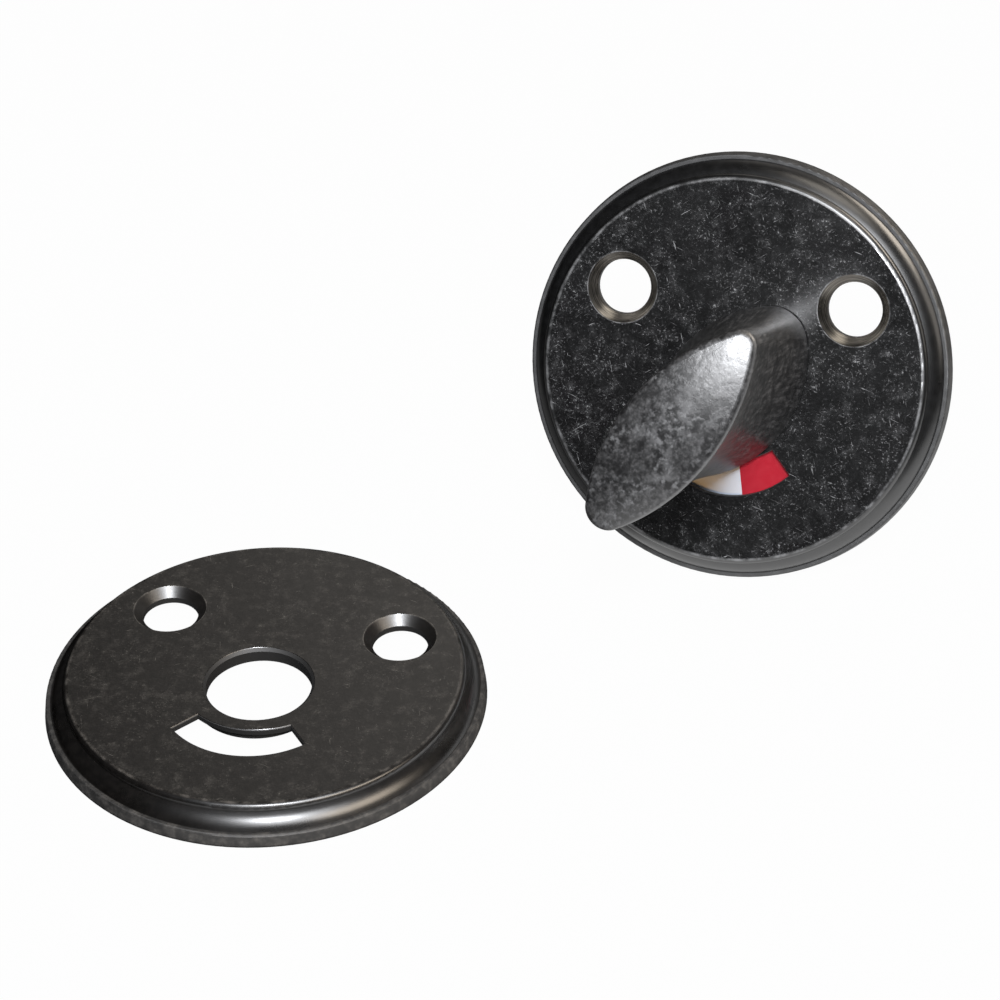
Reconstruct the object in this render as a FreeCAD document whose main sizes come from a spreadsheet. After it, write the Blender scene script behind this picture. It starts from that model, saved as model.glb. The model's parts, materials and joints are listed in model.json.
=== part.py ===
import FreeCAD, Part
import math
import os
import Sketcher

# Bathroom thumb turn lock in black cast iron, taken apart into its two sides on a table.
# Millimetres, +Z up. The origin is the centre of the outside rose's back, on the table.
# The inside rose leans back on its own spindle, with its thumb turn and indicator in place.

# Driving dimensions
SIZES = {
    # Rose: one casting, used for both sides. Its back is at level 0, its face at rose_height.
    "rose_radius": 27.5,
    "rose_height": 4.4,
    "rose_wall": 1.9,
    "back_rim": 3.0,
    "rim_width": 2.25,
    "rim_foot_height": 1.7,
    "rim_foot_draft": 0.2,
    "rim_foot_edge_radius": 0.25,
    "rim_ledge": 0.35,
    "rim_bead_radius": 3.2,
    "rim_step": 1.0,
    "face_edge_radius": 0.75,
    # Spindle bore, below the rose's centre
    "bore_radius": 6.55,
    "bore_drop": 2.7,
    "bore_chamfer": 0.4,
    # Arc window under the bore: radii to its corners, and the bends of its two long sides
    "window_inner_radius": 9.1,
    "window_width": 3.85,
    "window_inner_bend": 10.3,
    "window_outer_bend": 11.6,
    "window_middle": -89,
    "window_span": 79.5,
    "window_wall": 0.8,
    "window_edge": 0.12,
    # Two countersunk holes for the fixing screws
    "screw_spacing": 30,
    "screw_rise": 9.3,
    "screw_hole_radius": 3.5,
    "screw_sink_radius": 4.6,
    # Thumb turn: an oval foot, a waist and an almond top under a curved crown
    "turn_foot_gap": 0.2,
    "turn_foot_half_length": 13.15,
    "turn_foot_half_width": 8.45,
    "turn_foot_tip_radius": 4.8,
    "turn_waist_height": 14.8,
    "turn_waist_half_length": 13.8,
    "turn_waist_half_width": 5.6,
    "turn_waist_upper_tip_radius": 2.0,
    "turn_waist_lower_tip_radius": 2.8,
    "turn_crown_height": 32.7,
    "turn_crown_radius": 42,
    "turn_crown_cross_radius": 24,
    "turn_top_spare": 1.0,
    "turn_top_half_length": 16.0,
    "turn_top_half_width": 6.35,
    "turn_top_upper_tip_radius": 2.6,
    "turn_top_lower_tip_radius": 2.9,
    "turn_arris_radius": 0.9,
    "turn_foot_edge_radius": 0.3,
    # Neck and shank behind the turn
    "neck_radius": 5.6,
    "shank_flat": 4.6,
    "shank_tail": 7.0,
    "socket_rise": 1.6,
    # Flanged bush in the bore
    "neck_clearance": 0.05,
    "bush_flange_radius": 8.0,
    "bush_flange_thickness": 0.6,
    # Dished indicator disc on the shank, with its red field
    "disc_radius": 14.3,
    "disc_thickness": 0.8,
    "disc_wall_gap": 0.6,
    "disc_rim_gap": 0.6,
    "disc_face_gap": 0.3,
    "hub_gap": 0.3,
    "hub_fit": 0.05,
    "collar_gap": 0.2,
    "field_thickness": 0.15,
    "field_inset": 0.2,
    "field_start": -135,
    "field_span": 100,
    # Dished spring, washer and retaining ring
    "ring_parts_clearance": 0.15,
    "spring_radius": 8.2,
    "spring_thickness": 0.3,
    "spring_rise": 0.5,
    "washer_radius": 8.4,
    "washer_thickness": 0.6,
    "groove_depth": 0.5,
    "clip_thickness": 1.0,
    "clip_width": 1.7,
    "clip_play": 0.1,
    "clip_opening": 4.4,
    "clip_lug_radius": 1.3,
    "clip_lug_hole_radius": 0.6,
    # Spindle and the pin that holds it
    "spindle_side": 5.0,
    "spindle_fit": 0.05,
    "spindle_end_gap": 0.5,
    "spindle_reach": 46.3,
    "spindle_chamfer": 0.5,
    "pin_radius": 1.0,
    "pin_wall": 0.4,
    "pin_slot": 0.5,
    "pin_rise": 3.4,
    # Where the two sides lie on the table, and how far the turn is turned
    "outside_turn_angle": -12.28,
    "inside_place_x": 60.26,
    "inside_place_y": 34.5,
    "inside_heading": -18.81,
    "inside_roll": 3.74,
    "turn_angle": 55,
}

UP = FreeCAD.Vector(0, 0, 1)

os.makedirs("parts", exist_ok=True)
doc = FreeCAD.newDocument("thumb_turn_lock")
sheet = doc.addObject("Spreadsheet::Sheet", "sizes")
for row, (word, number) in enumerate(SIZES.items(), start=1):
    sheet.set(f"A{row}", word)
    sheet.set(f"B{row}", str(number))
    sheet.setAlias(f"B{row}", word)
doc.recompute()


class Term:
    """A number that knows the expression by which the sheet drives it."""

    def __init__(self, value, text):
        self.value = float(value)
        self.text = text

    def joined(self, sign, other, value):
        return Term(value, f"({self.text} {sign} {other.text})")

    def __add__(self, other):
        return self.joined("+", other, self.value + other.value)

    def __sub__(self, other):
        return self.joined("-", other, self.value - other.value)

    def __mul__(self, other):
        return self.joined("*", other, self.value * other.value)

    def __truediv__(self, other):
        return self.joined("/", other, self.value / other.value)

    def __neg__(self):
        return Term(-self.value, f"(0 - {self.text})")


def size(word):
    return Term(sheet.get(word), f"sizes.{word}")


def number(value):
    return Term(value, repr(value))


def cosine(angle):
    return Term(math.cos(math.radians(angle.value)), f"cos({angle.text} * 1 deg)")


def sine(angle):
    return Term(math.sin(math.radians(angle.value)), f"sin({angle.text} * 1 deg)")


def root(item):
    return Term(math.sqrt(item.value), f"sqrt({item.text})")


def half(item):
    return item / number(2)


# Sketches: points and circles bound to the sheet. None as a coordinate means on the axis.
def new_sketch(body, name, role, level=None):
    sketch = body.newObject("Sketcher::SketchObject", name)
    plane = next(item for item in body.Origin.OriginFeatures if item.Role == role)
    sketch.AttachmentSupport = (plane, [""])
    sketch.MapMode = "FlatFace"
    if level is not None:
        sketch.AttachmentOffset = FreeCAD.Placement(UP * level.value, FreeCAD.Rotation())
        sketch.setExpression("AttachmentOffset.Base.z", level.text)
    return sketch


def spot(x, y):
    return FreeCAD.Vector(x.value if x else 0, y.value if y else 0, 0)


def drive(sketch, constraint, item):
    place = sketch.addConstraint(constraint)
    sketch.setExpression(f"Constraints[{place}]", item.text)


def hold(sketch, item, end, x, y):
    if x is None:
        sketch.addConstraint(Sketcher.Constraint("PointOnObject", item, end, -2))
    else:
        drive(sketch, Sketcher.Constraint("DistanceX", -1, 1, item, end, x.value), x)
    if y is None:
        sketch.addConstraint(Sketcher.Constraint("PointOnObject", item, end, -1))
    else:
        drive(sketch, Sketcher.Constraint("DistanceY", -1, 1, item, end, y.value), y)


def meet(sketch, first, second, kind="Coincident"):
    sketch.addConstraint(Sketcher.Constraint(kind, *first, *second))


def add_circle(sketch, x, y, radius):
    item = sketch.addGeometry(Part.Circle(spot(x, y), UP, radius.value), False)
    hold(sketch, item, 3, x, y)
    drive(sketch, Sketcher.Constraint("Radius", item, radius.value), radius)


def arc_about(centre, start, end):
    """Arc drawn anticlockwise about its centre from start to end."""
    first = math.atan2(start.y - centre.y, start.x - centre.x)
    last = math.atan2(end.y - centre.y, end.x - centre.x)
    if last <= first:
        last += 2 * math.pi
    return Part.ArcOfCircle(Part.Circle(centre, UP, start.distanceToPoint(centre)), first, last)


def bend_centre(start, end, radius, turn):
    """Centre of the arc of less than half a turn that goes from start to end."""
    chord = end - start
    across = FreeCAD.Vector(-chord.y, chord.x, 0).normalize() * turn
    reach = math.sqrt(max(radius ** 2 - (chord.Length / 2) ** 2, 0))
    return start + chord * 0.5 + across * reach


LEFT = 1
RIGHT = -1


def add_outline(sketch, corners):
    """Closed outline. A corner is (x, y), or (x, y, turn, radius) where an arc leaves it."""
    sides = []
    for place, (x, y, *bend) in enumerate(corners):
        next_x, next_y = corners[(place + 1) % len(corners)][:2]
        start = spot(x, y)
        end = spot(next_x, next_y)
        if bend:
            turn, radius = bend
            centre = bend_centre(start, end, radius.value, turn)
            arc = arc_about(centre, start, end) if turn == LEFT else arc_about(centre, end, start)
            item = sketch.addGeometry(arc, False)
            ends = (1, 2) if turn == LEFT else (2, 1)
            sides.append((item, ends, radius))
        else:
            item = sketch.addGeometry(Part.LineSegment(start, end), False)
            sides.append((item, (1, 2), None))
    for place, (item, (first, last), radius) in enumerate(sides):
        next_item, (next_first, _), _ = sides[(place + 1) % len(sides)]
        hold(sketch, item, first, *corners[place][:2])
        meet(sketch, (item, last), (next_item, next_first))
        if radius:
            drive(sketch, Sketcher.Constraint("Radius", item, radius.value), radius)


def add_rectangle(sketch, left, right, low, high):
    add_outline(sketch, [(left, low), (right, low), (right, high), (left, high)])


def add_sector(sketch, centre_y, inner, outer, start, span, inner_bend=None, outer_bend=None):
    """Part of a flat ring between two radii, anticlockwise from its start angle."""
    end = start + span

    def corner(radius, angle):
        y = radius * sine(angle)
        return radius * cosine(angle), (y + centre_y if centre_y else y)

    add_outline(sketch, [
        (*corner(inner, start),),
        (*corner(outer, start), LEFT, outer_bend or outer),
        (*corner(outer, end),),
        (*corner(inner, end), RIGHT, inner_bend or inner),
    ])


def add_double_d(sketch, radius, flat):
    """Round section with two flats, as on the shank."""
    edge = root(radius * radius - flat * flat)
    add_outline(sketch, [
        (edge, -flat, LEFT, radius),
        (edge, flat),
        (-edge, flat, LEFT, radius),
        (-edge, -flat),
    ])


def add_oval(sketch, half_length, half_width, upper_tip, lower_tip):
    """Almond outline of tangent arcs: a tip arc at each end, and two side arcs on each flank."""
    top = FreeCAD.Vector(0, half_width.value, 0)
    bottom = FreeCAD.Vector(0, -half_width.value, 0)
    sides = []
    for sign, tip in ((1, upper_tip), (-1, lower_tip)):
        length = half_length.value
        width = half_width.value
        radius = tip.value
        side = ((length - radius) ** 2 + width ** 2 - radius ** 2) / (2 * (width - radius))
        touch_x = sign * side * (length - radius) / (side - radius)
        touch_y = (width - side) + side * (side - width) / (side - radius)
        tip_centre = FreeCAD.Vector(sign * (length - radius), 0, 0)
        upper_centre = FreeCAD.Vector(0, width - side, 0)
        lower_centre = FreeCAD.Vector(0, side - width, 0)
        upper_touch = FreeCAD.Vector(touch_x, touch_y, 0)
        lower_touch = FreeCAD.Vector(touch_x, -touch_y, 0)
        if sign == 1:
            arcs = [arc_about(lower_centre, bottom, lower_touch),
                    arc_about(tip_centre, lower_touch, upper_touch),
                    arc_about(upper_centre, upper_touch, top)]
        else:
            arcs = [arc_about(upper_centre, top, upper_touch),
                    arc_about(tip_centre, upper_touch, lower_touch),
                    arc_about(lower_centre, lower_touch, bottom)]
        flank, nose, back_flank = [sketch.addGeometry(arc, False) for arc in arcs]
        reach = half_length - tip
        hold(sketch, nose, 3, reach if sign == 1 else -reach, None)
        drive(sketch, Sketcher.Constraint("Radius", nose, radius), tip)
        for item in (flank, back_flank):
            sketch.addConstraint(Sketcher.Constraint("PointOnObject", item, 3, -2))
        meet(sketch, (flank, 2), (nose, 1), "Tangent")
        meet(sketch, (nose, 2), (back_flank, 1), "Tangent")
        sides.append((flank, back_flank))
    (upper_start, upper_end), (lower_start, lower_end) = sides
    meet(sketch, (upper_end, 2), (lower_start, 1))
    meet(sketch, (lower_end, 2), (upper_start, 1))
    hold(sketch, lower_start, 1, None, half_width)
    hold(sketch, upper_start, 1, None, -half_width)


# Features
def pad(body, name, sketch, length, downwards=False, both_ways=False):
    feature = body.newObject("PartDesign::Pad", name)
    feature.Profile = sketch
    feature.Length = length.value
    feature.setExpression("Length", length.text)
    feature.Reversed = downwards
    if both_ways:
        feature.SideType = "Symmetric"
    doc.recompute()
    return feature


def pocket(body, name, sketch, depth=None, upwards=False, both_ways=False):
    feature = body.newObject("PartDesign::Pocket", name)
    feature.Profile = sketch
    feature.Reversed = upwards
    if both_ways:
        feature.SideType = "Symmetric"
    if depth is None:
        feature.Type = "ThroughAll"
    else:
        feature.Length = depth.value
        feature.setExpression("Length", depth.text)
    doc.recompute()
    return feature


def lathe(body, name, sketch, kind="PartDesign::Revolution", axis="V_Axis", angle=360):
    feature = body.newObject(kind, name)
    feature.Profile = sketch
    feature.ReferenceAxis = (sketch, [axis])
    feature.Angle = angle
    feature.Midplane = angle < 360
    doc.recompute()
    return feature


def edges_where(feature, test):
    return [f"Edge{place}" for place, edge in enumerate(feature.Shape.Edges, start=1) if test(edge)]


def is_level(edge, level):
    box = edge.BoundBox
    return abs(box.ZMin - level.value) < 1e-4 and abs(box.ZMax - level.value) < 1e-4


def dress(body, kind, name, base, edges, item):
    feature = body.newObject(f"PartDesign::{kind}", name)
    feature.Base = (base, edges)
    word = "Radius" if kind == "Fillet" else "Size"
    setattr(feature, word, item.value)
    feature.setExpression(word, item.text)
    doc.recompute()
    return feature


bodies = []


def new_body(name):
    body = doc.addObject("PartDesign::Body", name)
    body.Label = name
    bodies.append(body)
    return body


# Levels in a rose's own frame, from its back at 0
face = size("rose_height")
underside = face - size("rose_wall")
recess_roof = face - size("window_wall")
bush_foot = underside - size("bush_flange_thickness")
hub_top = bush_foot - size("hub_gap")
hub_foot = hub_top - size("disc_thickness")
field_foot = recess_roof - size("disc_face_gap") - size("field_thickness")
flange_foot = field_foot - size("disc_thickness")
spring_foot = hub_foot - size("spring_rise") - size("spring_thickness")
washer_foot = spring_foot - size("washer_thickness")
clip_foot = washer_foot - size("clip_thickness")
groove_foot = clip_foot - size("clip_play")
shank_foot = clip_foot - size("shank_tail")
pin_level = shank_foot + size("pin_rise")
socket_roof = face + size("socket_rise")
spindle_top = socket_roof - size("spindle_end_gap")
turn_foot = face + size("turn_foot_gap")
turn_crown = turn_foot + size("turn_crown_height")

# Radii that more than one piece shares
recess_radius = size("disc_radius") + size("disc_rim_gap")
collar_radius = size("bush_flange_radius") + size("collar_gap")
disc_wall_inner = size("bush_flange_radius") + size("disc_wall_gap")
disc_wall_outer = disc_wall_inner + size("disc_thickness")
bush_inner = size("neck_radius") + size("neck_clearance")
loose_radius = size("neck_radius") + size("ring_parts_clearance")
groove_radius = size("neck_radius") - size("groove_depth")


def make_rose(name):
    """Round cover: moulded rim, hollow back, bore, arc window and two countersunk holes."""
    body = new_body(name)
    foot_top_radius = size("rose_radius") - size("rim_foot_draft")
    ledge_radius = foot_top_radius - size("rim_foot_edge_radius")
    step_radius = foot_top_radius - size("rim_width")

    section = new_sketch(body, f"{name}_section", "XZ_Plane")
    add_outline(section, [
        (None, None),
        (size("rose_radius"), None),
        (foot_top_radius, size("rim_foot_height") - size("rim_foot_edge_radius"), LEFT,
         size("rim_foot_edge_radius")),
        (ledge_radius, size("rim_foot_height")),
        (ledge_radius - size("rim_ledge"), size("rim_foot_height"), LEFT, size("rim_bead_radius")),
        (step_radius, face - size("rim_step")),
        (step_radius, face - size("face_edge_radius"), LEFT, size("face_edge_radius")),
        (step_radius - size("face_edge_radius"), face),
        (None, face),
    ])
    lathe(body, f"{name}_casting", section)

    hollow = new_sketch(body, f"{name}_hollow_outline", "XY_Plane")
    add_circle(hollow, None, None, size("rose_radius") - size("back_rim"))
    pocket(body, f"{name}_hollow", hollow, underside, upwards=True)

    recess = new_sketch(body, f"{name}_disc_recess_outline", "XY_Plane")
    add_circle(recess, None, -size("bore_drop"), recess_radius)
    add_circle(recess, None, -size("bore_drop"), collar_radius)
    pocket(body, f"{name}_disc_recess", recess, recess_roof, upwards=True)

    window = new_sketch(body, f"{name}_window_outline", "XY_Plane")
    window_outer = size("window_inner_radius") + size("window_width")
    window_start = size("window_middle") - half(size("window_span"))
    add_sector(window, -size("bore_drop"), size("window_inner_radius"), window_outer, window_start,
               size("window_span"), size("window_inner_bend"), size("window_outer_bend"))
    cut = pocket(body, f"{name}_window", window, upwards=True)
    window_rims = edges_where(cut, lambda edge: is_level(edge, face) and edge.BoundBox.YMax < 0)
    dress(body, "Chamfer", f"{name}_window_edge", cut, window_rims, size("window_edge"))

    bore = new_sketch(body, f"{name}_bore_outline", "XY_Plane")
    add_circle(bore, None, -size("bore_drop"), size("bore_radius"))
    cut = pocket(body, f"{name}_bore", bore, upwards=True)
    bore_rim = edges_where(cut, lambda edge: is_level(edge, face)
                           and abs(edge.BoundBox.XLength / 2 - size("bore_radius").value) < 1e-4)
    dress(body, "Chamfer", f"{name}_bore_edge", cut, bore_rim, size("bore_chamfer"))

    holes = new_sketch(body, f"{name}_screw_outline", "XY_Plane")
    for reach in (half(size("screw_spacing")), -half(size("screw_spacing"))):
        add_circle(holes, reach, size("screw_rise"), size("screw_hole_radius"))
    cut = pocket(body, f"{name}_screw_holes", holes, upwards=True)
    hole_rims = edges_where(cut, lambda edge: is_level(edge, face)
                            and abs(edge.BoundBox.XLength / 2 - size("screw_hole_radius").value) < 1e-4)
    dress(body, "Chamfer", f"{name}_countersinks", cut, hole_rims,
          size("screw_sink_radius") - size("screw_hole_radius"))
    return body


def make_turn():
    """Thumb turn in its own frame: its axis is Z and its pointed upper tip lies along +X."""
    body = new_body("thumb_turn")
    foot = new_sketch(body, "turn_foot_oval", "XY_Plane", turn_foot)
    add_oval(foot, size("turn_foot_half_length"), size("turn_foot_half_width"),
             size("turn_foot_tip_radius"), size("turn_foot_tip_radius"))
    waist = new_sketch(body, "turn_waist_oval", "XY_Plane", turn_foot + size("turn_waist_height"))
    add_oval(waist, size("turn_waist_half_length"), size("turn_waist_half_width"),
             size("turn_waist_upper_tip_radius"), size("turn_waist_lower_tip_radius"))
    top = new_sketch(body, "turn_top_oval", "XY_Plane", turn_crown + size("turn_top_spare"))
    add_oval(top, size("turn_top_half_length"), size("turn_top_half_width"),
             size("turn_top_upper_tip_radius"), size("turn_top_lower_tip_radius"))
    doc.recompute()
    blade = body.newObject("PartDesign::AdditiveLoft", "turn_blade")
    blade.Profile = foot
    blade.Sections = [waist, top]
    doc.recompute()

    # The crown is an arc along the turn's length, swept about a low axis that domes it across
    reach = size("turn_top_half_length") + size("turn_top_spare")
    radius = size("turn_crown_radius")
    crown_end = turn_crown - radius + root(radius * radius - reach * reach)
    clear_top = turn_crown + size("turn_top_half_width")
    sweep_level = turn_crown - size("turn_crown_cross_radius")
    crown = new_sketch(body, "turn_crown_outline", "XZ_Plane")
    add_outline(crown, [
        (-reach, crown_end, RIGHT, radius),
        (reach, crown_end),
        (reach, clear_top),
        (-reach, clear_top),
    ])
    sweep_line = Part.LineSegment(spot(-reach, sweep_level), spot(reach, sweep_level))
    sweep_axis = crown.addGeometry(sweep_line, True)
    hold(crown, sweep_axis, 1, -reach, sweep_level)
    hold(crown, sweep_axis, 2, reach, sweep_level)
    cut = lathe(body, "turn_crown", crown, "PartDesign::Groove", "Axis0", 180)
    crown_face = max(cut.Shape.Faces, key=lambda item: item.CenterOfMass.z)
    arris = edges_where(cut, lambda edge: any(edge.isSame(other) for other in crown_face.Edges))
    rounded = dress(body, "Fillet", "turn_arris", cut, arris, size("turn_arris_radius"))
    foot_rim = edges_where(rounded, lambda edge: is_level(edge, turn_foot))
    dress(body, "Fillet", "turn_foot_edge", rounded, foot_rim, size("turn_foot_edge_radius"))

    # Round neck through the bush, then the flatted shank
    neck = new_sketch(body, "turn_neck_outline", "XY_Plane", turn_foot)
    add_circle(neck, None, None, size("neck_radius"))
    pad(body, "turn_neck", neck, turn_foot - hub_top, downwards=True)
    shank = new_sketch(body, "turn_shank_outline", "XY_Plane", hub_top)
    add_double_d(shank, size("neck_radius"), size("shank_flat"))
    pad(body, "turn_shank", shank, hub_top - shank_foot, downwards=True)

    groove = new_sketch(body, "turn_groove_outline", "XZ_Plane")
    add_rectangle(groove, groove_radius, loose_radius, groove_foot, washer_foot)
    lathe(body, "turn_groove", groove, "PartDesign::Groove")

    side = half(size("spindle_side")) + size("spindle_fit")
    socket = new_sketch(body, "turn_socket_outline", "XY_Plane", shank_foot)
    add_rectangle(socket, -side, side, -side, side)
    pocket(body, "turn_socket", socket, socket_roof - shank_foot, upwards=True)

    pin_hole = new_sketch(body, "turn_pin_hole_outline", "XZ_Plane")
    add_circle(pin_hole, None, pin_level, size("pin_radius"))
    pocket(body, "turn_pin_hole", pin_hole, both_ways=True)
    return body


def make_bush():
    """Flanged bush pressed into the bore from behind."""
    body = new_body("neck_bush")
    section = new_sketch(body, "bush_section", "XZ_Plane")
    sleeve_top = face - size("bore_chamfer")
    add_outline(section, [
        (bush_inner, bush_foot),
        (size("bush_flange_radius"), bush_foot),
        (size("bush_flange_radius"), underside),
        (size("bore_radius"), underside),
        (size("bore_radius"), sleeve_top),
        (bush_inner, sleeve_top),
    ])
    lathe(body, "bush_turning", section)
    return body


def make_disc():
    """White dished disc: its hub sits on the shank, its flange shows in the window."""
    body = new_body("indicator_disc")
    section = new_sketch(body, "disc_section", "XZ_Plane")
    add_outline(section, [
        (None, hub_foot),
        (disc_wall_outer, hub_foot),
        (disc_wall_outer, flange_foot),
        (size("disc_radius"), flange_foot),
        (size("disc_radius"), field_foot),
        (disc_wall_inner, field_foot),
        (disc_wall_inner, hub_top),
        (None, hub_top),
    ])
    lathe(body, "disc_moulding", section)
    hole = new_sketch(body, "disc_hole_outline", "XY_Plane", hub_foot)
    add_double_d(hole, size("neck_radius") + size("hub_fit"), size("shank_flat") + size("hub_fit"))
    pocket(body, "disc_hole", hole, upwards=True)
    return body


def make_red_field():
    """Red film on the disc's flange, from the border that the window shows."""
    body = new_body("red_field")
    outline = new_sketch(body, "field_outline", "XY_Plane", field_foot)
    add_sector(outline, None, disc_wall_inner + size("field_inset"),
               size("disc_radius") - size("field_inset"), size("field_start"), size("field_span"))
    pad(body, "field_film", outline, size("field_thickness"))
    return body


def make_spring():
    """Dished spring washer between the disc's hub and the backing washer."""
    body = new_body("cone_spring")
    section = new_sketch(body, "spring_section", "XZ_Plane")
    add_outline(section, [
        (loose_radius, spring_foot),
        (size("spring_radius"), hub_foot - size("spring_thickness")),
        (size("spring_radius"), hub_foot),
        (loose_radius, spring_foot + size("spring_thickness")),
    ])
    lathe(body, "spring_dish", section)
    return body


def make_washer():
    body = new_body("backing_washer")
    section = new_sketch(body, "washer_section", "XZ_Plane")
    add_rectangle(section, loose_radius, size("washer_radius"), washer_foot, spring_foot)
    lathe(body, "washer_ring", section)
    return body


def make_clip():
    """Retaining ring in the shank's groove: open on one side, with a lug at each end."""
    body = new_body("retaining_ring")
    outer = groove_radius + size("clip_width")
    ring = new_sketch(body, "clip_ring_outline", "XY_Plane", clip_foot)
    add_circle(ring, None, None, outer)
    add_circle(ring, None, None, groove_radius)
    pad(body, "clip_ring", ring, size("clip_thickness"))

    gap = half(size("clip_opening"))
    reach = outer + size("clip_lug_radius") + size("clip_lug_radius")
    opening = new_sketch(body, "clip_opening_outline", "XY_Plane", clip_foot)
    add_outline(opening, [(None, -gap), (reach, -gap), (reach, gap), (None, gap)])
    pocket(body, "clip_gap", opening, size("clip_thickness"), upwards=True)

    lug_y = gap + size("clip_lug_radius")
    lugs = new_sketch(body, "clip_lug_outline", "XY_Plane", clip_foot)
    eyes = new_sketch(body, "clip_eye_outline", "XY_Plane", clip_foot)
    for y in (lug_y, -lug_y):
        add_circle(lugs, outer, y, size("clip_lug_radius"))
        add_circle(eyes, outer, y, size("clip_lug_hole_radius"))
    pad(body, "clip_lugs", lugs, size("clip_thickness"))
    pocket(body, "clip_eyes", eyes, size("clip_thickness"), upwards=True)
    return body


def make_spindle():
    """Square bar that works the lock case, chamfered at both ends and drilled for its pin."""
    body = new_body("spindle")
    side = half(size("spindle_side"))
    section = new_sketch(body, "spindle_outline", "XY_Plane", -size("spindle_reach"))
    add_rectangle(section, -side, side, -side, side)
    bar = pad(body, "spindle_bar", section, spindle_top + size("spindle_reach"))
    ends = edges_where(bar, lambda edge: is_level(edge, spindle_top)
                       or is_level(edge, -size("spindle_reach")))
    dress(body, "Chamfer", "spindle_ends", bar, ends, size("spindle_chamfer"))
    hole = new_sketch(body, "spindle_pin_hole_outline", "XZ_Plane")
    add_circle(hole, None, pin_level, size("pin_radius"))
    pocket(body, "spindle_pin_hole", hole, both_ways=True)
    return body


def make_pin():
    """Slotted spring pin across the shank's flats."""
    body = new_body("spindle_pin")
    section = new_sketch(body, "pin_outline", "XZ_Plane")
    add_circle(section, None, pin_level, size("pin_radius"))
    add_circle(section, None, pin_level, size("pin_radius") - size("pin_wall"))
    pad(body, "pin_tube", section, size("shank_flat") + size("shank_flat"), both_ways=True)
    slot_side = half(size("pin_slot"))
    slot = new_sketch(body, "pin_slot_outline", "XZ_Plane")
    add_rectangle(slot, -slot_side, slot_side, pin_level, pin_level + size("pin_radius") + slot_side)
    pocket(body, "pin_slot_cut", slot, both_ways=True)
    return body


def turned(axis, angle):
    return FreeCAD.Placement(FreeCAD.Vector(0, 0, 0), FreeCAD.Rotation(axis, angle))


def inside_placement():
    """The inside rose stands on its rim's lowest back edge and on the spindle's end."""
    heading = size("inside_heading").value
    roll = size("inside_roll").value
    radius = size("rose_radius").value
    corner = math.radians(size("turn_angle").value + roll)
    spindle_low = size("spindle_side").value / 2 * (abs(math.cos(corner)) + abs(math.sin(corner)))
    bore_low = size("bore_drop").value * math.cos(math.radians(roll))
    full_reach = size("spindle_reach").value - size("spindle_chamfer").value
    lean = math.atan2(radius - bore_low - spindle_low, full_reach)
    place = FreeCAD.Vector(size("inside_place_x").value, size("inside_place_y").value,
                           radius * math.cos(lean))
    upright = turned(FreeCAD.Vector(1, 0, 0), 90 - math.degrees(lean))
    return FreeCAD.Placement(place, turned(UP, heading).Rotation) * upright * turned(UP, roll)


inside_place = inside_placement()
bore_place = inside_place * FreeCAD.Placement(FreeCAD.Vector(0, -size("bore_drop").value, 0),
                                              FreeCAD.Rotation())
turn_place = bore_place * turned(UP, size("turn_angle").value)

make_rose("inside_rose").Placement = inside_place
make_bush().Placement = bore_place
make_rose("outside_rose").Placement = turned(UP, size("outside_turn_angle").value)
for make_piece in (make_turn, make_disc, make_red_field, make_spring, make_washer, make_clip,
                   make_spindle, make_pin):
    make_piece().Placement = turn_place
doc.recompute()

# Nothing is written unless every object is sound and every cut has cut
for item in doc.Objects:
    if "Invalid" in item.State or "Error" in item.State:
        raise RuntimeError(f"{item.Label} failed")
    if item.TypeId in ("PartDesign::Pocket", "PartDesign::Groove"):
        if item.Shape.Volume > item.BaseFeature.Shape.Volume - 1e-3:
            raise RuntimeError(f"{item.Label} cuts nothing")
for body in bodies:
    if body.Shape.isNull() or not body.Shape.isValid() or len(body.Shape.Solids) != 1:
        raise RuntimeError(f"{body.Label} is not one sound solid")
for body in bodies:
    body.Shape.exportStep(f"parts/{body.Label}.step")
    print(body.Label, round(body.Shape.Volume, 1))
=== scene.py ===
import json
import math

import bpy
from mathutils import Matrix, Vector

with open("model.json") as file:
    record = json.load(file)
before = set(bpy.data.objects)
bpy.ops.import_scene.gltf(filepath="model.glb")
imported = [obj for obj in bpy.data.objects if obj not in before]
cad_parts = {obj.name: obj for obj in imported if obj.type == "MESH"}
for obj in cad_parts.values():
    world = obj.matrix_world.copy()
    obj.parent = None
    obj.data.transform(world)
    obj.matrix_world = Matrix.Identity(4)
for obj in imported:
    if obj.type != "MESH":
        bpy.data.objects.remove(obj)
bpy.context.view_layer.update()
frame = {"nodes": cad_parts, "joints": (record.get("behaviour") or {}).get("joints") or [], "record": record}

# Bathroom thumb turn lock in tumbled black iron: the looks of its cast pieces, its indicator,
# its plain floor, its lights and its camera. Lengths are metres; patterns read millimetres.
MM = 0.001

# Sizes of a rose that its finish follows, in millimetres in its own frame
FACE_LEVEL = 4.4
FACE_RADIUS = 24.3
FACE_EDGE_LEVELS = (3.95, 4.25)
FOOT_RADIUS = 27.25
BORE_DROP = 2.7
SCREW_X = 15.0
SCREW_RISE = 9.3
SCREW_SINK_RADIUS = 4.6
SINK_EDGE_LEVELS = (4.1, 4.3)
SINK_FLOOR_LEVELS = (3.25, 3.35)

# Sizes of the thumb turn, whose crown is one arc along it swept over another across it
TURN_ANGLE = 55.0
TURN_CROWN = 37.3
CROWN_RADIUS = 42.0
CROWN_CROSS_RADIUS = 24.0

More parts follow.
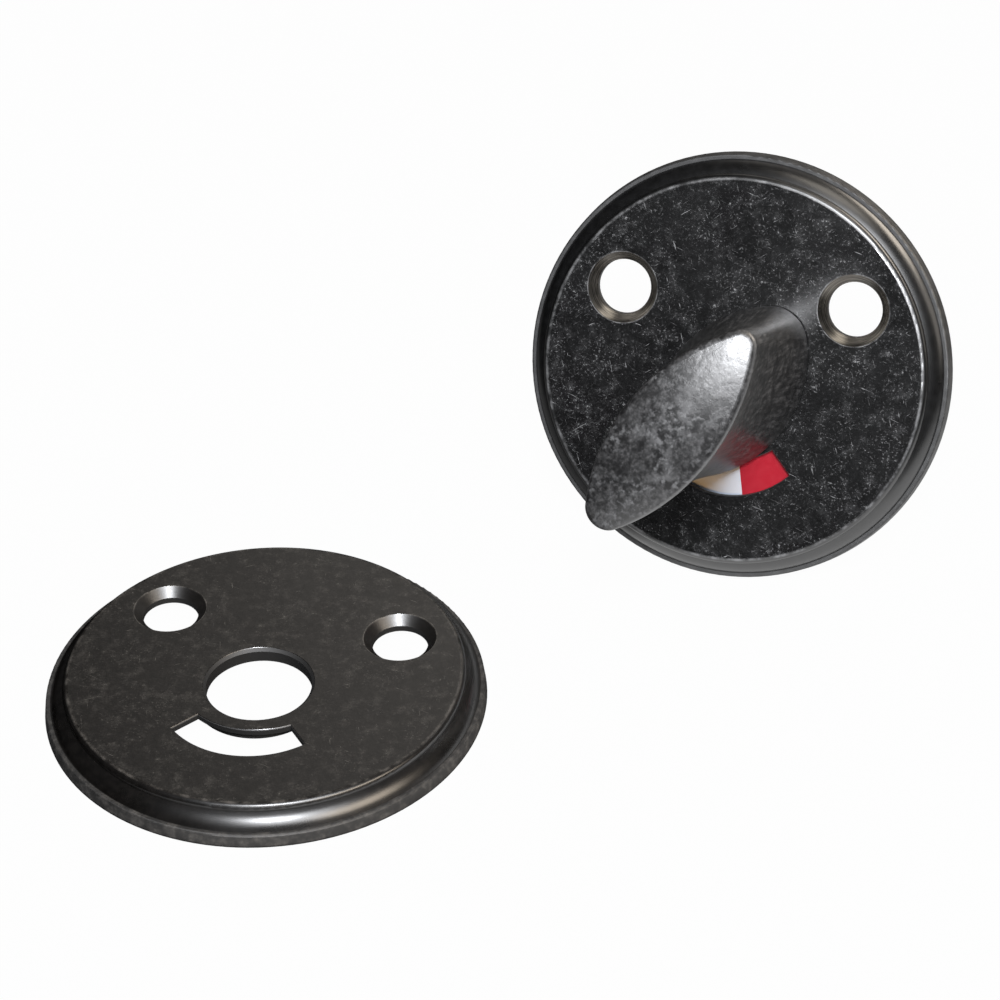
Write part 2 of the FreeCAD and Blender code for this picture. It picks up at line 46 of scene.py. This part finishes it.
# Colours that the castings share and their gloss, each finish's depth of grain in millimetres,
# and how dark the darkest part of a plain piece is
WALL_BLACK = (0.006, 0.0058, 0.0056)
TURNED_DARK = (0.1, 0.094, 0.086)
TURNED_LIGHT = (0.34, 0.32, 0.29)
FLANK_DARK = (0.006, 0.0058, 0.006)
FLANK_LIGHT = (0.1, 0.097, 0.097)
CROWN_WORN = (0.165, 0.165, 0.167)
IRON_IOR = 2.0
FACE_GRAIN = 0.01
TURNED_GRAIN = 0.012
CROWN_GRAIN = 0.014
PLAIN_GRAIN = 0.02
PLAIN_SHADE = 0.92

# Levels between which most of a noise's values lie
MIDDLE = (0.35, 0.65)

# Each run of strokes: length, width and direction, where its noise is read, and how rare it is
SCRATCH_RUNS = (
    (2.4, 0.22, 18, 3.1, 0.65),
    (3.0, 0.2, -34, 7.7, 0.65),
    (2.0, 0.2, 71, 12.3, 0.65),
)
SCRATCH_FADE = 0.14

# Camera, from the two roses' outlines in the picture
CAMERA_PLACE = Vector((34.23, -314.74, 267.79)) * MM
CAMERA_FORWARD = Vector((-0.0116, 0.7979, -0.6026))
CAMERA_UP = Vector((0.0154, 0.6027, 0.7978))
CAMERA_LENS = 119.3
CAMERA_CLIP = 0.01
SENSOR_WIDTH = 36.0

# Floor, and how much of what the camera sees of it is plain white; the rest keeps its shadow
FLOOR_SIZE = 6.0
FLOOR_COLOUR = (0.8, 0.8, 0.8, 1)
FLOOR_ROUGH = 0.9
FLOOR_GLOW = 0.98
WHITE = (1, 1, 1, 1)

# Painted pool of light on the floor, which gloss and glass see as white, by its distance from the outside
# rose's centre: where it starts (painted shade under that rose), ends and has its left side (painted shade
# beyond it); then its two painted shadows, between the roses and in front of the inside rose, across and
# away, and their depth
GLOW_START = (0.024, 0.038)
GLOW_END = (0.09, 0.2)
GLOW_LEFT = (-0.03, 0.0)
SHADE_BETWEEN_ROSES = ((0.036, 0.048), (-0.018, 0.002))
SHADE_BEFORE_INSIDE_ROSE = ((0.03, 0.042), (-0.04, -0.022))
PAINTED_SHADE_DEPTH = 0.85

# Room around the object: dark, with a pale backdrop behind it. The backdrop's sides are given as
# parts of a direction: up from the floor and over the top, backwards, and across
ROOM_COLOUR = (0.02, 0.02, 0.0205)
BACKDROP_COLOUR = (0.95, 0.9, 0.84)
BACKDROP_FOOT = (0.1, 0.5)
BACKDROP_TOP = (0.55, 0.95)
BACKDROP_BACK = (0.1, 0.75)
BACKDROP_SIDE = (-0.23, 0.02)
BACKDROP_LEVEL = 0.56
BACKDROP_LEAST = 0.05

# Lamps: where each stands about the target (azimuth from +X towards +Y, elevation, distance), its
# width and height, its radiance and colour, and the pieces that it lights, or None for all
LAMP_TARGET = Vector((0.035, 0.015, 0.02))
CASTINGS = ("outside_rose", "inside_rose", "thumb_turn", "red_field")
INSIDE_PIECES = ("inside_rose", "thumb_turn", "red_field")
OUTSIDE_PIECES = ("outside_rose",)
INDICATOR = ("indicator_disc",)
LAMPS = (
    ("key", -89, 50, 0.9, 0.15, 0.15, 66.0, (0.97, 0.99, 1.03), None),
    ("key_surround", -80, 46, 0.92, 0.58, 0.58, 4.3, (0.98, 0.99, 1.02), CASTINGS),
    ("warm_side", -42, 33, 0.9, 0.6, 0.36, 4.6, (1.0, 0.86, 0.7), OUTSIDE_PIECES),
    ("crown_side", -106, 44, 0.9, 0.3, 0.36, 4.2, (0.98, 0.99, 1.02), INSIDE_PIECES),
    ("tan_side", 28, 35, 0.9, 0.55, 0.3, 6.0, (1.0, 0.89, 0.76), INSIDE_PIECES),
    ("tan_low", 2, 16, 0.9, 0.36, 0.6, 1.15, (1.0, 0.93, 0.85), INSIDE_PIECES),
    ("tan_top", 5, 74, 0.9, 0.4, 0.4, 2.2, (1.0, 0.93, 0.82), INSIDE_PIECES),
    ("indicator_light", -89, 50, 0.9, 0.1, 0.1, 100.0, (0.85, 1.03, 1.22), INDICATOR),
    ("indicator_warmth", -120, 16, 0.9, 0.3, 0.2, 7.0, (1.0, 0.58, 0.22), INDICATOR),
)


# Places of the castings, read from the frame's joint and mounts
def axes_matrix(x_axis, y_axis, z_axis, place):
    turn = Matrix((x_axis, y_axis, z_axis)).transposed()
    return Matrix.Translation(place) @ turn.to_4x4()


mounts = {mount["name"]: mount for mount in frame["record"]["mounts"]}
hinge = frame["joints"][0]
bore_place = Vector(hinge["pos_m"])
inside_normal = Vector(hinge["axis"]).normalized()
inside_up = (Vector(mounts["inside_back"]["pos_m"]) - bore_place).normalized()
inside_right = inside_up.cross(inside_normal)
inside_matrix = axes_matrix(inside_right, inside_up, inside_normal,
                            bore_place + inside_up * BORE_DROP * MM)

outside_up = Vector(mounts["outside_back"]["pos_m"]).normalized()
outside_normal = Vector((0, 0, 1))
outside_matrix = axes_matrix(outside_up.cross(outside_normal), outside_up, outside_normal,
                             Vector((0, 0, 0)))

turn_matrix = (axes_matrix(inside_right, inside_up, inside_normal, bore_place)
               @ Matrix.Rotation(math.radians(TURN_ANGLE), 4, "Z"))


class Pattern:
    """A node tree, and the sums that its patterns are made of."""

    def __init__(self, tree):
        self.tree = tree

    def add(self, kind):
        return self.tree.nodes.new(kind)

    def link(self, source, target):
        self.tree.links.new(source, target)

    def feed(self, value, socket):
        if isinstance(value, bpy.types.NodeSocket):
            self.link(value, socket)
        else:
            socket.default_value = value

    def math(self, kind, first, second=0.0):
        node = self.add("ShaderNodeMath")
        node.operation = kind
        self.feed(first, node.inputs[0])
        self.feed(second, node.inputs[1])
        return node.outputs[0]

    def plus(self, first, second):
        return self.math("ADD", first, second)

    def less(self, first, second):
        return self.math("SUBTRACT", first, second)

    def both(self, first, second):
        return self.math("MULTIPLY", first, second)

    def either(self, first, second):
        return self.math("MAXIMUM", first, second)

    def range(self, value, low, high, start=0.0, end=1.0):
        """Smooth step from start to end while the value goes from low to high."""
        node = self.add("ShaderNodeMapRange")
        node.interpolation_type = "SMOOTHSTEP"
        self.feed(value, node.inputs["Value"])
        ends = {"From Min": low, "From Max": high, "To Min": start, "To Max": end}
        for name, number in ends.items():
            node.inputs[name].default_value = number
        return node.outputs[0]

    def parts(self, vector):
        node = self.add("ShaderNodeSeparateXYZ")
        self.link(vector, node.inputs["Vector"])
        return node.outputs

    def mixed(self, factor, first, second):
        """Colour between two colours."""
        node = self.add("ShaderNodeMix")
        node.data_type = "RGBA"
        self.feed(factor, node.inputs["Factor"])
        colours = [socket for socket in node.inputs if socket.type == "RGBA"]
        for value, socket in zip((first, second), colours):
            self.feed((*value, 1.0) if isinstance(value, tuple) else value, socket)
        return [socket for socket in node.outputs if socket.type == "RGBA"][0]


class Finish(Pattern):
    """A procedural material, with its pattern laid out in one piece's own millimetres."""

    def __init__(self, name, place=Matrix.Identity(4)):
        self.material = bpy.data.materials.new(name)
        self.material.use_nodes = True
        super().__init__(self.material.node_tree)
        self.shader = self.tree.nodes["Principled BSDF"]
        source = self.add("ShaderNodeTexCoord")
        local = self.add("ShaderNodeMapping")
        local.vector_type = "TEXTURE"
        local.inputs["Location"].default_value = place.translation
        local.inputs["Rotation"].default_value = place.to_euler("XYZ")
        local.inputs["Scale"].default_value = (MM, MM, MM)
        self.link(source.outputs["Object"], local.inputs["Vector"])
        self.local = local.outputs["Vector"]
        self.x, self.y, self.z = self.parts(self.local)

    def distance(self, x=0.0, y=0.0):
        """Distance from an axis that stands on the face at (x, y)."""
        across = self.less(self.x, x)
        along = self.less(self.y, y)
        square = self.plus(self.both(across, across), self.both(along, along))
        return self.math("SQRT", square)

    def angle(self, x, y):
        """Angle about an axis that stands on the face at (x, y)."""
        return self.math("ARCTAN2", self.less(self.y, y), self.less(self.x, x))

    def vector(self, x, y, z):
        node = self.add("ShaderNodeCombineXYZ")
        for value, socket in zip((x, y, z), node.inputs):
            self.feed(value, socket)
        return node.outputs[0]

    def stretched(self, scale, turn=0.0):
        """The pattern's coordinates turned about Z, then scaled."""
        turned = self.add("ShaderNodeMapping")
        turned.vector_type = "POINT"
        turned.inputs["Rotation"].default_value = (0, 0, math.radians(turn))
        self.link(self.local, turned.inputs["Vector"])
        scaled = self.add("ShaderNodeVectorMath")
        scaled.operation = "MULTIPLY"
        self.link(turned.outputs[0], scaled.inputs[0])
        scaled.inputs[1].default_value = scale
        return scaled.outputs[0]

    def moved(self, vector, shift):
        node = self.add("ShaderNodeVectorMath")
        node.operation = "ADD"
        self.link(vector, node.inputs[0])
        node.inputs[1].default_value = shift
        return node.outputs[0]

    def noise(self, size, detail=4.0, rough=0.55, vector=None, warp=0.0):
        node = self.add("ShaderNodeTexNoise")
        node.inputs["Scale"].default_value = 1.0 / size
        node.inputs["Detail"].default_value = detail
        node.inputs["Roughness"].default_value = rough
        node.inputs["Distortion"].default_value = warp
        self.link(vector or self.local, node.inputs["Vector"])
        return node.outputs["Fac"]

    def patches(self, size, low, high, start=0.0, end=1.0, detail=4.0, rough=0.55):
        """Patches of about one size: noise that goes from start to end between two levels."""
        return self.range(self.noise(size, detail, rough), low, high, start, end)

    def band(self, value, centre, half_width):
        """1 at the centre of a band, falling smoothly to 0 at its sides."""
        away = self.math("ABSOLUTE", self.less(value, centre))
        return self.range(away, 0.0, half_width, 1.0, 0.0)

    def bump(self, height, depth, before=None):
        node = self.add("ShaderNodeBump")
        node.inputs["Strength"].default_value = 1.0
        node.inputs["Distance"].default_value = depth * MM
        self.link(height, node.inputs["Height"])
        if before:
            self.link(before, node.inputs["Normal"])
        return node.outputs[0]

    def finish(self, colour, rough, normal, metallic=0.0, ior=1.5):
        self.link(colour, self.shader.inputs["Base Color"])
        self.link(rough, self.shader.inputs["Roughness"])
        self.link(normal, self.shader.inputs["Normal"])
        self.feed(metallic, self.shader.inputs["Metallic"])
        self.shader.inputs["IOR"].default_value = ior
        return self.material


def scratches(finish, length, width, turn, seed, cover):
    """Short strokes: bent noise drawn out along one direction, kept where it peaks."""
    drawn_out = finish.stretched((1.0 / length, 1.0 / width, 1.0), turn)
    vector = finish.moved(drawn_out, (seed, seed, seed))
    lines = finish.noise(1.0, detail=3.0, rough=0.6, vector=vector, warp=0.5)
    return finish.range(lines, cover, cover + SCRATCH_FADE)


def tumbling_marks(finish, hazed):
    """Marks that tumbling leaves on a flat face: haze, clustered dust, specks, short strokes."""
    clusters = finish.patches(3.2, 0.4, 0.62, 0.2, 1.0, rough=0.65)
    haze = finish.both(finish.patches(1.6, 0.46, 0.7, detail=6.0, rough=0.85), hazed)
    haze = finish.both(haze, finish.range(clusters, 0.2, 1.0, 0.4, 1.0))
    dust = finish.patches(0.34, 0.55, 0.72, 0.0, 0.4, detail=3.0, rough=0.7)
    specks = finish.patches(0.8, 0.6, 0.71, detail=6.0, rough=0.85)
    marks = finish.both(finish.either(specks, dust), clusters)
    marks = finish.either(marks, haze)
    broken = finish.patches(1.3, 0.42, 0.62, 0.0, 0.9, detail=3.0)
    for run in SCRATCH_RUNS:
        marks = finish.either(marks, finish.both(scratches(finish, *run), broken))
    return marks


def turned_countersinks(finish):
    """The two countersinks: where their cones lie, the rings turned in them, their rubbed edges."""
    sinks = rings = edges = 0.0
    for x in (-SCREW_X, SCREW_X):
        away = finish.distance(x, SCREW_RISE)
        rubbed = finish.both(finish.band(away, SCREW_SINK_RADIUS, 0.12),
                             finish.range(finish.z, *SINK_EDGE_LEVELS))
        edges = finish.either(edges, finish.both(rubbed, 0.45))
        cone = finish.range(away, SCREW_SINK_RADIUS - 0.08, SCREW_SINK_RADIUS - 0.02, 1.0, 0.0)
        cone = finish.both(cone, finish.range(finish.z, *SINK_FLOOR_LEVELS))
        around = finish.vector(finish.both(away, 9.0), finish.angle(x, SCREW_RISE), 0.0)
        turned = finish.noise(1.0, detail=3.0, vector=around)
        rings = finish.either(finish.both(turned, cone), rings)
        sinks = finish.either(cone, sinks)
    return sinks, rings, edges


def make_rose_finish(name, place, dark, light, worn, marked, hazed, foot_wear_and_reflection, dull_foot,
                     bright_sinks):
    """Tumbled black iron of a rose: marked face, rubbed edges, a rim foot lightened by wear and by a painted
    reflection of the pale floor, turned sinks, dull insides.
    """
    finish = Finish(name, place)
    radius = finish.distance()
    face = finish.both(finish.range(finish.z, FACE_LEVEL - 0.08, FACE_LEVEL - 0.02),
                       finish.range(radius, FACE_RADIUS, FACE_RADIUS + 0.1, 1.0, 0.0))
    foot = finish.both(finish.range(radius, FOOT_RADIUS - 0.6, FOOT_RADIUS - 0.45),
                       finish.range(finish.z, 0.0, 0.3))
    sinks, rings, sink_edges = turned_countersinks(finish)
    marks = finish.both(finish.both(tumbling_marks(finish, hazed), face), marked)

    # Rubbed edges: face edge, rim foot and countersinks. The rim foot's light patches are partly wear and
    # partly a painted reflection of the pale floor, strongest on the outside rose
    edge = finish.both(finish.band(radius, FACE_RADIUS + 0.15, 0.3),
                       finish.range(finish.z, *FACE_EDGE_LEVELS, 0.0, 0.4))
    foot_wear_and_reflection_patches = finish.patches(1.0, 0.36, 0.7, 0.08, 0.32, detail=5.0, rough=0.7)
    edge = finish.either(edge, finish.both(finish.both(foot, foot_wear_and_reflection_patches), foot_wear_and_reflection))
    edge = finish.either(edge, sink_edges)
    edge = finish.both(edge, finish.patches(1.6, 0.38, 0.66, 0.1, 1.0, detail=5.0, rough=0.65))

    # Walls of the bore and the window, and the hollow back, are dull and never rubbed
    below_face = finish.range(finish.z, FACE_LEVEL - 0.06, FACE_LEVEL - 0.02, 1.0, 0.0)
    within_edge = finish.range(radius, FACE_RADIUS - 0.2, FACE_RADIUS - 0.1, 1.0, 0.0)
    wall = finish.both(finish.both(below_face, within_edge), finish.less(1.0, sinks))

    mottle = finish.noise(1.1, detail=5.0, rough=0.65)
    base = finish.mixed(finish.range(mottle, *MIDDLE), dark, light)
    base = finish.mixed(finish.both(rings, 0.04), base, worn)
    base = finish.mixed(marks, base, worn)
    base = finish.mixed(edge, base, worn)
    base = finish.mixed(wall, base, WALL_BLACK)
    turned = finish.mixed(finish.range(rings, *MIDDLE), TURNED_DARK, TURNED_LIGHT)
    metal = finish.both(sinks, bright_sinks)
    base = finish.mixed(metal, base, turned)

    rough = finish.patches(7.0, *MIDDLE, 0.27, 0.31, detail=3.0)
    rough = finish.less(rough, finish.both(face, 0.07))
    rough = finish.plus(rough, finish.both(finish.either(marks, edge), 0.2))
    dull = finish.either(wall, finish.both(foot, dull_foot))
    rough = finish.plus(rough, finish.both(dull, 0.35))
    rough = finish.plus(rough, finish.both(finish.less(sinks, metal), 0.06))
    normal = finish.bump(finish.both(mottle, face), FACE_GRAIN)
    normal = finish.bump(rings, TURNED_GRAIN, normal)
    return finish.finish(base, rough, normal, metal, IRON_IOR)


def make_turn_finish(name, place):
    """Tumbled black iron of the thumb turn: blotched crown, streaked flanks."""
    finish = Finish(name, place)
    along = finish.both(finish.x, finish.x)
    ridge = finish.math("SQRT", finish.less(CROWN_RADIUS ** 2, along))
    level = finish.less(finish.z, TURN_CROWN - CROWN_CROSS_RADIUS)
    square = finish.plus(finish.both(finish.y, finish.y), finish.both(level, level))
    reach = finish.math("SQRT", square)
    below = finish.less(finish.plus(ridge, CROWN_CROSS_RADIUS - CROWN_RADIUS), reach)
    crown = finish.range(below, 0.12, 0.5, 1.0, 0.0)

    wide = finish.patches(4.5, 0.36, 0.64, 0.12, 1.0, detail=2.0)
    blotches = finish.patches(1.3, 0.4, 0.66, rough=0.6)
    spots = finish.patches(0.62, 0.5, 0.7, detail=3.0)
    marks = finish.both(finish.plus(finish.both(blotches, 0.5), finish.both(spots, 1.1)), wide)
    marks = finish.both(finish.plus(marks, 0.04), crown)
    # Rubbed edge round the crown: the wear is real; keeping it lighter along the right arris than along the
    # left is a painted highlight
    right_arris_highlight = finish.range(finish.y, -0.5, 0.5, 1.0, 0.15)
    rubbed_border_and_highlight = finish.both(finish.both(finish.band(below, 0.3, 0.3), 0.5), right_arris_highlight)
    marks = finish.either(marks, rubbed_border_and_highlight)

    streaks = finish.noise(0.5, rough=0.65, vector=finish.stretched((1.0, 1.0, 0.12)))
    grime = finish.noise(1.3, detail=5.0, rough=0.65)
    flank = finish.both(finish.range(streaks, 0.4, 0.7), finish.range(grime, *MIDDLE, 0.1, 1.0))
    base = finish.mixed(flank, FLANK_DARK, FLANK_LIGHT)
    base = finish.mixed(marks, base, CROWN_WORN)
    rough = finish.range(crown, 0.0, 1.0, 0.38, 0.3)
    rough = finish.plus(rough, finish.range(grime, *MIDDLE, 0.0, 0.1))
    height = finish.plus(finish.both(blotches, crown), finish.both(streaks, 0.35))
    return finish.finish(base, rough, finish.bump(height, CROWN_GRAIN), ior=IRON_IOR)


def make_plain_finish(name, colour, rough, metallic=0.0):
    """Smooth moulded or bright piece, with a faint grain so that it isn't dead flat."""
    finish = Finish(name)
    cloud = finish.noise(0.8)
    base = finish.mixed(cloud, tuple(value * PLAIN_SHADE for value in colour), colour)
    roughness = finish.range(cloud, 0.3, 0.7, rough - 0.05, rough + 0.05)
    return finish.finish(base, roughness, finish.bump(cloud, PLAIN_GRAIN), metallic)


iron_inside = make_rose_finish(
    "tumbled_iron_inside", inside_matrix, dark=(0.003, 0.003, 0.0031),
    light=(0.008, 0.008, 0.0083), worn=(0.58, 0.58, 0.585), marked=1.0, hazed=0.08,
    foot_wear_and_reflection=0.25, dull_foot=0.8, bright_sinks=1.0)
# The outside rose's rim foot is lightest: wear, and a painted reflection of the pale floor it lies on
iron_outside = make_rose_finish(
    "tumbled_iron_outside", outside_matrix, dark=(0.002, 0.0016, 0.0013),
    light=(0.007, 0.006, 0.0053), worn=(0.26, 0.24, 0.215), marked=0.7, hazed=0.22,
    foot_wear_and_reflection=1.0, dull_foot=1.0, bright_sinks=0.0)
iron_turn = make_turn_finish("tumbled_iron_turn", turn_matrix)
white_nylon = make_plain_finish("white_nylon", (0.72, 0.77, 0.85), 0.35)
red_film = make_plain_finish("red_film", (0.52, 0.016, 0.033), 0.35)
bush_nylon = make_plain_finish("bush_nylon", (0.62, 0.6, 0.54), 0.45)
spring_steel = make_plain_finish("spring_steel", (0.34, 0.34, 0.36), 0.4, metallic=0.5)
spindle_steel = make_plain_finish("spindle_steel", (0.5, 0.5, 0.53), 0.4, metallic=0.5)

FINISHES = {
    "inside_rose": iron_inside,
    "outside_rose": iron_outside,
    "thumb_turn": iron_turn,
    "neck_bush": bush_nylon,
    "indicator_disc": white_nylon,
    "red_field": red_film,
    "cone_spring": spring_steel,
    "backing_washer": spring_steel,
    "retaining_ring": spring_steel,
    "spindle": spindle_steel,
    "spindle_pin": spring_steel,
}
for node, material in FINISHES.items():
    piece = frame["nodes"][node]
    piece.data.materials.clear()
    piece.data.materials.append(material)


def floor_glow_and_painted_shade(pattern):
    """Where the floor is plain white, and what share of each ray's view of it is that white.

    The camera sees white all over. Gloss and glass see a painted pool of light beside the object and in
    front of it, fading further away, with painted shade under the outside rose, on its left, between the two
    roses and in front of the inside rose.
    """
    place = pattern.add("ShaderNodeTexCoord").outputs["Object"]
    across, away, _ = pattern.parts(place)
    length = pattern.add("ShaderNodeVectorMath")
    length.operation = "LENGTH"
    pattern.link(place, length.inputs[0])
    distance = length.outputs["Value"]
    # Painted pool of light for gloss and glass: white round the object and fading further away, with painted
    # shade under the outside rose and on its left
    near = pattern.both(pattern.range(distance, *GLOW_END, 1.0, 0.0),
                        pattern.range(distance, *GLOW_START))
    near = pattern.both(near, pattern.range(across, *GLOW_LEFT))
    # Painted shadows in that pool, between the two roses and in front of the inside rose
    between = pattern.both(pattern.range(across, *SHADE_BETWEEN_ROSES[0], PAINTED_SHADE_DEPTH, 0.0),
                           pattern.range(away, *SHADE_BETWEEN_ROSES[1]))
    front = pattern.both(pattern.range(across, *SHADE_BEFORE_INSIDE_ROSE[0], 0.0, PAINTED_SHADE_DEPTH),
                         pattern.range(away, *SHADE_BEFORE_INSIDE_ROSE[1], 1.0, 0.0))
    near = pattern.both(near, pattern.less(1.0, pattern.either(between, front)))

    path = pattern.add("ShaderNodeLightPath")
    camera = path.outputs["Is Camera Ray"]
    mirrored = pattern.either(path.outputs["Is Glossy Ray"], path.outputs["Is Transmission Ray"])
    white = pattern.either(camera, near)
    share = pattern.either(pattern.both(camera, FLOOR_GLOW), mirrored)
    return white, share


def make_floor():
    """Plain pale floor, white to the camera, that keeps a soft shadow."""
    bpy.ops.mesh.primitive_plane_add(size=FLOOR_SIZE)
    floor = bpy.context.object
    floor.name = "floor"
    material = bpy.data.materials.new("pale_floor")
    material.use_nodes = True
    pattern = Pattern(material.node_tree)
    shader = pattern.tree.nodes["Principled BSDF"]
    shader.inputs["Base Color"].default_value = FLOOR_COLOUR
    shader.inputs["Roughness"].default_value = FLOOR_ROUGH
    shader.inputs["Specular IOR Level"].default_value = 0.0
    white, share = floor_glow_and_painted_shade(pattern)
    glow = pattern.add("ShaderNodeEmission")
    glow.inputs["Color"].default_value = WHITE
    pattern.link(white, glow.inputs["Strength"])
    mix = pattern.add("ShaderNodeMixShader")
    pattern.link(share, mix.inputs["Fac"])
    pattern.link(shader.outputs[0], mix.inputs[1])
    pattern.link(glow.outputs[0], mix.inputs[2])
    pattern.link(mix.outputs[0], pattern.tree.nodes["Material Output"].inputs["Surface"])
    floor.data.materials.append(material)


def make_world():
    """White to the camera. To the rest it is a dark studio, with a pale backdrop."""
    world = bpy.data.worlds.new("studio")
    bpy.context.scene.world = world
    world.use_nodes = True
    pattern = Pattern(world.node_tree)
    across, back, up = pattern.parts(pattern.add("ShaderNodeTexCoord").outputs["Generated"])
    backdrop = pattern.both(pattern.range(up, *BACKDROP_FOOT, BACKDROP_LEAST, 1.0),
                            pattern.range(up, *BACKDROP_TOP, 1.0, BACKDROP_LEAST))
    backdrop = pattern.both(backdrop, pattern.range(back, *BACKDROP_BACK))
    backdrop = pattern.both(backdrop, pattern.range(across, *BACKDROP_SIDE, 0.0, BACKDROP_LEVEL))
    room = pattern.tree.nodes["Background"]
    pattern.link(pattern.mixed(backdrop, ROOM_COLOUR, BACKDROP_COLOUR), room.inputs["Color"])

    white = pattern.add("ShaderNodeBackground")
    white.inputs["Color"].default_value = WHITE
    path = pattern.add("ShaderNodeLightPath")
    mix = pattern.add("ShaderNodeMixShader")
    pattern.link(path.outputs["Is Camera Ray"], mix.inputs["Fac"])
    pattern.link(room.outputs[0], mix.inputs[1])
    pattern.link(white.outputs[0], mix.inputs[2])
    pattern.link(mix.outputs[0], pattern.tree.nodes["World Output"].inputs["Surface"])


def add_lamp(name, azimuth, elevation, distance, width, height, radiance, colour, lit):
    """Soft panel that looks at the object, as a row of LAMPS says."""
    around = math.radians(azimuth)
    up = math.radians(elevation)
    away = Vector((math.cos(up) * math.cos(around), math.cos(up) * math.sin(around), math.sin(up)))
    lamp = bpy.data.lights.new(name, "AREA")
    lamp.shape = "RECTANGLE"
    lamp.size = width
    lamp.size_y = height
    lamp.energy = radiance * math.pi * width * height
    lamp.color = colour
    item = bpy.data.objects.new(name, lamp)
    item.location = LAMP_TARGET + away * distance
    item.rotation_euler = away.to_track_quat("Z", "Y").to_euler()
    bpy.context.scene.collection.objects.link(item)
    if lit:
        group = bpy.data.collections.new(name + "_lights")
        for node in lit:
            group.objects.link(frame["nodes"][node])
        item.light_linking.receiver_collection = group


def make_camera():
    camera = bpy.data.cameras.new("camera")
    camera.lens = CAMERA_LENS
    camera.sensor_width = SENSOR_WIDTH
    camera.clip_start = CAMERA_CLIP
    item = bpy.data.objects.new("camera", camera)
    forward = CAMERA_FORWARD.normalized()
    right = forward.cross(CAMERA_UP).normalized()
    item.matrix_world = axes_matrix(right, right.cross(forward), -forward, CAMERA_PLACE)
    bpy.context.scene.collection.objects.link(item)
    bpy.context.scene.camera = item


make_floor()
make_world()
for lamp_row in LAMPS:
    add_lamp(*lamp_row)
make_camera()

bpy.context.scene.view_settings.view_transform = "Standard"
